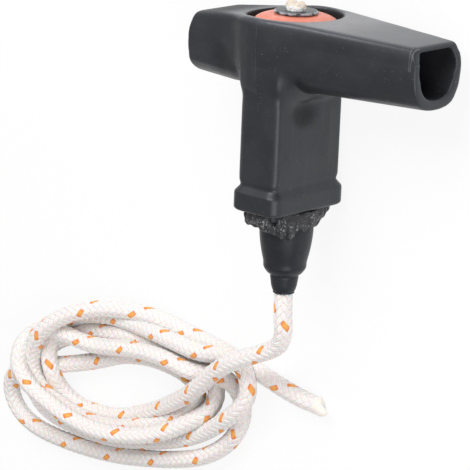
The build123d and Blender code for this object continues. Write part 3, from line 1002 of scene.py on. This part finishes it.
def washer():
    """Thin round washer with soft edges, slightly dished, on the cap's crown."""
    low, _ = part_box("knot_disc")
    deselect_all()
    place = (STEM_X, low[1] + WASHER_THICK * MM / 2, AXIS_Z)
    bpy.ops.mesh.primitive_cylinder_add(vertices=72, radius=WASHER_RADIUS * MM, depth=WASHER_THICK * MM,
                                        location=place, rotation=(math.pi / 2, 0, 0))
    disc = bpy.context.object
    disc.name = "glossy_washer"
    settle_in_mesh(disc)
    bpy.ops.object.mode_set(mode="EDIT")
    bpy.ops.mesh.select_all(action="DESELECT")
    bpy.ops.object.mode_set(mode="OBJECT")
    for face in disc.data.polygons:
        face.select = abs(face.normal.y) > 0.9
    bpy.ops.object.mode_set(mode="EDIT")
    bpy.ops.mesh.inset(thickness=0.9 * MM, depth=0)
    bpy.ops.mesh.inset(thickness=0.5 * MM, depth=-0.16 * MM)
    bpy.ops.object.mode_set(mode="OBJECT")
    apply_modifier(disc, "BEVEL", "soft_edges", width=0.32 * MM, segments=4, limit_method="ANGLE",
                   angle_limit=math.radians(40))
    smooth_by_angle(disc, 40)
    return disc


def stub_finish(settings):
    """Cream melted rope, glassy on its lumps."""
    finish = Finish("melted_stub")
    finish.place()
    cloud = finish.noise(1.3, detail=4.0)
    pits = finish.noise(0.35, detail=2.0)
    darker = tuple(0.78 * value for value in settings.stub)
    colour = finish.mix(cloud.between(0.35, 0.7), settings.stub, darker)
    return finish.surface(
        Base_Color=colour, Roughness=0.3 + cloud * 0.25, Subsurface_Weight=0.3, Subsurface_Scale=0.0015,
        Normal=finish.bump(cloud * 0.6 + pits * 0.4, 0.15, 0.7),
    )


def melted_end():
    """The rope's end, melted into lumps that run into each other, flat on the washer."""
    low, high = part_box("rope_stub")
    sunk = Vector((0, STUB_SUNK * MM, 0))
    low, high = Vector(low) - sunk, Vector(high) - sunk
    lumps = []
    for across, up, radius, tall in STUB_LUMPS:
        lump = ball((STEM_X + across * MM, low[1], AXIS_Z + up * MM), radius * MM, 24, 16)
        lump.scale = (1, tall * (high[1] - low[1]) / (radius * MM), 1)
        settle_in_mesh(lump)
        lumps.append(lump)
    join(*lumps)
    stub = bpy.context.object
    stub.name = "melted_rope_end"
    even_skin(stub, STUB_SKIN)
    soft_edges(stub, 6)
    bpy.ops.object.mode_set(mode="EDIT")
    bpy.ops.mesh.select_all(action="SELECT")
    floor = (0, low[1] + 0.00002, 0)
    bpy.ops.mesh.bisect(plane_co=floor, plane_no=(0, 1, 0), use_fill=True, clear_inner=True)
    bpy.ops.object.mode_set(mode="OBJECT")
    roughen(stub, 0.00012, 0.0008, 1.3)
    smooth_by_angle(stub, 50)
    return stub


class HANDLE_OT_dress_seat(bpy.types.Operator):
    """Dresses the cap, the washer and the melted end of the rope in the seat"""

    bl_idname = "handle.dress_seat"
    bl_label = "Dress the rope seat"

    def execute(self, context):
        settings = context.scene.seat_settings
        cap = dressed_copy("thrust_cap", "orange_thrust_cap", 35)
        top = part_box("thrust_cap")[1][1]
        for vertex in cap.data.vertices:
            sunk = (top - vertex.co.y) / MM
            if sunk < CAP_BAND:
                vertex.co.y = top - sunk * CAP_FLATTER * MM
        stand_for(cap, "thrust_cap", "rope_side", cap_finish(settings))
        disc = washer()
        stand_for(disc, "knot_disc", "rope_side", disc_finish(settings))
        stub = melted_end()
        stand_for(stub, "rope_stub", "rope_side", stub_finish(settings))
        return {"FINISHED"}


def rubber_finish():
    """Matt black rubber with a dusty bloom."""
    finish = Finish("damper_rubber")
    finish.place()
    bloom = finish.noise(2.5, detail=5.0)
    grain = finish.noise(0.25, detail=2.0)
    colour = finish.mix(bloom.between(0.4, 0.8), (0.028, 0.028, 0.028), (0.07, 0.07, 0.068))
    return finish.surface(
        Base_Color=colour, Roughness=0.72 + grain * 0.15, Normal=finish.bump(grain, 0.04, 0.5),
    )


class HANDLE_OT_dress_damper(bpy.types.Operator):
    """Dresses the rubber block in the stem and gives it a mesh of its own; in the real handle the block
    flattens as the grip is pulled
    """

    bl_idname = "handle.dress_damper"
    bl_label = "Dress the damper"

    def execute(self, context):
        block = dressed_copy("damper", "rubber_block", 30)
        stand_for(block, "damper", "grip_side", rubber_finish())
        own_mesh(block)
        return {"FINISHED"}


# Stage

CAMERA_LENS = 199.35
CAMERA_PLACE = (0.41329, 0.15124, 0.49846)
CAMERA_RIGHT = (0.73230, 0.03843, -0.67990)
CAMERA_UP = (-0.20621, 0.96405, -0.16760)
CAMERA_AHEAD = (-0.64901, -0.26293, -0.71390)


def seen(finish):
    """1 for what the camera, a reflection or glass sees."""
    path = finish.node("LightPath").socket.node.outputs
    camera = Signal(finish, path["Is Camera Ray"])
    glossy = Signal(finish, path["Is Glossy Ray"])
    through = Signal(finish, path["Is Transmission Ray"])
    return camera.most(glossy).most(through)


def floor_finish():
    finish = Finish("pale_floor")
    matt = finish.node("BsdfDiffuse", values={"Color": (0.86, 0.86, 0.86)})
    glow = finish.node("Emission", values={"Color": (1.0, 1.0, 1.0), "Strength": 1.0})
    finish.node_out(finish.node("MixShader", values={0: seen(finish) * 0.88, 1: matt, 2: glow}))
    return finish.material


def lamp(name, place, aim, size, power):
    data = bpy.data.lights.new(name, "AREA")
    data.shape = "RECTANGLE"
    data.size, data.size_y = size
    data.energy = power
    thing = bpy.data.objects.new(name, data)
    thing.location = place
    thing.rotation_euler = (Vector(aim) - Vector(place)).to_track_quat("-Z", "Y").to_euler()
    bpy.context.scene.collection.objects.link(thing)
    return thing


class HANDLE_OT_set_stage(bpy.types.Operator):
    """Sets up the pale floor, the soft lights and the camera"""

    bl_idname = "handle.set_stage"
    bl_label = "Set the stage"

    def execute(self, context):
        scene = context.scene
        settings = scene.stage_settings
        scene.view_settings.view_transform = "Standard"
        deselect_all()
        bpy.ops.mesh.primitive_plane_add(size=6.0, location=(0, 0, -0.0002))
        floor = context.object
        floor.name = "pale_floor"
        give(floor, floor_finish())
        world = bpy.data.worlds.new("studio")
        scene.world = world
        world.use_nodes = True
        tree = world.node_tree
        tree.nodes.clear()
        sky = tree.nodes.new("ShaderNodeBackground")
        sky.inputs["Color"].default_value = (1, 1, 1, 1)
        sky.inputs["Strength"].default_value = settings.sky
        white = tree.nodes.new("ShaderNodeBackground")
        white.inputs["Color"].default_value = (1, 1, 1, 1)
        path = tree.nodes.new("ShaderNodeLightPath")
        mix = tree.nodes.new("ShaderNodeMixShader")
        last = tree.nodes.new("ShaderNodeOutputWorld")
        tree.links.new(path.outputs["Is Camera Ray"], mix.inputs[0])
        tree.links.new(sky.outputs[0], mix.inputs[1])
        tree.links.new(white.outputs[0], mix.inputs[2])
        tree.links.new(mix.outputs[0], last.inputs["Surface"])
        middle = (-0.03, -0.03, 0.01)
        lamp("key_light", (-0.05, 0.55, 0.55), middle, (0.7, 0.5), settings.key)
        lamp("fill_light", (0.55, -0.15, 0.45), middle, (0.5, 0.5), settings.fill)
        eye = bpy.data.cameras.new("front_camera")
        eye.lens = CAMERA_LENS
        eye.sensor_width = 36.0
        eye.clip_start = 0.01
        camera = bpy.data.objects.new("front_camera", eye)
        turn = Matrix((CAMERA_RIGHT, CAMERA_UP, [-value for value in CAMERA_AHEAD])).transposed()
        camera.matrix_world = Matrix.Translation(CAMERA_PLACE) @ turn.to_4x4()
        scene.collection.objects.link(camera)
        scene.camera = camera
        return {"FINISHED"}


STEPS = (
    "set_stage", "lay_rope", "thread_core", "dress_grip", "dress_nozzle", "dress_seat", "dress_damper",
)


class HANDLE_PT_panel(bpy.types.Panel):
    bl_label = "Starter handle"
    bl_idname = "HANDLE_PT_panel"
    bl_space_type = "VIEW_3D"
    bl_region_type = "UI"
    bl_category = "Handle"

    def draw(self, context):
        scene = context.scene
        groups = (scene.rope_settings, scene.grip_settings, scene.seat_settings, scene.stage_settings)
        for group in groups:
            box = self.layout.box()
            for key in group.__annotations__:
                box.prop(group, key)
        for step in STEPS:
            self.layout.operator("handle." + step)


CLASSES = (
    RopeSettings,
    GripSettings,
    SeatSettings,
    StageSettings,
    HANDLE_OT_set_stage,
    HANDLE_OT_lay_rope,
    HANDLE_OT_thread_core,
    HANDLE_OT_dress_grip,
    HANDLE_OT_dress_nozzle,
    HANDLE_OT_dress_seat,
    HANDLE_OT_dress_damper,
    HANDLE_PT_panel,
)


def register():
    for kind in CLASSES:
        bpy.utils.register_class(kind)
    bpy.types.Scene.rope_settings = PointerProperty(type=RopeSettings)
    bpy.types.Scene.grip_settings = PointerProperty(type=GripSettings)
    bpy.types.Scene.seat_settings = PointerProperty(type=SeatSettings)
    bpy.types.Scene.stage_settings = PointerProperty(type=StageSettings)


def unregister():
    del bpy.types.Scene.stage_settings
    del bpy.types.Scene.seat_settings
    del bpy.types.Scene.grip_settings
    del bpy.types.Scene.rope_settings
    for kind in reversed(CLASSES):
        bpy.utils.unregister_class(kind)


def main():
    register()
    for step in STEPS:
        getattr(bpy.ops.handle, step)()


if __name__ == "__main__":
    main()
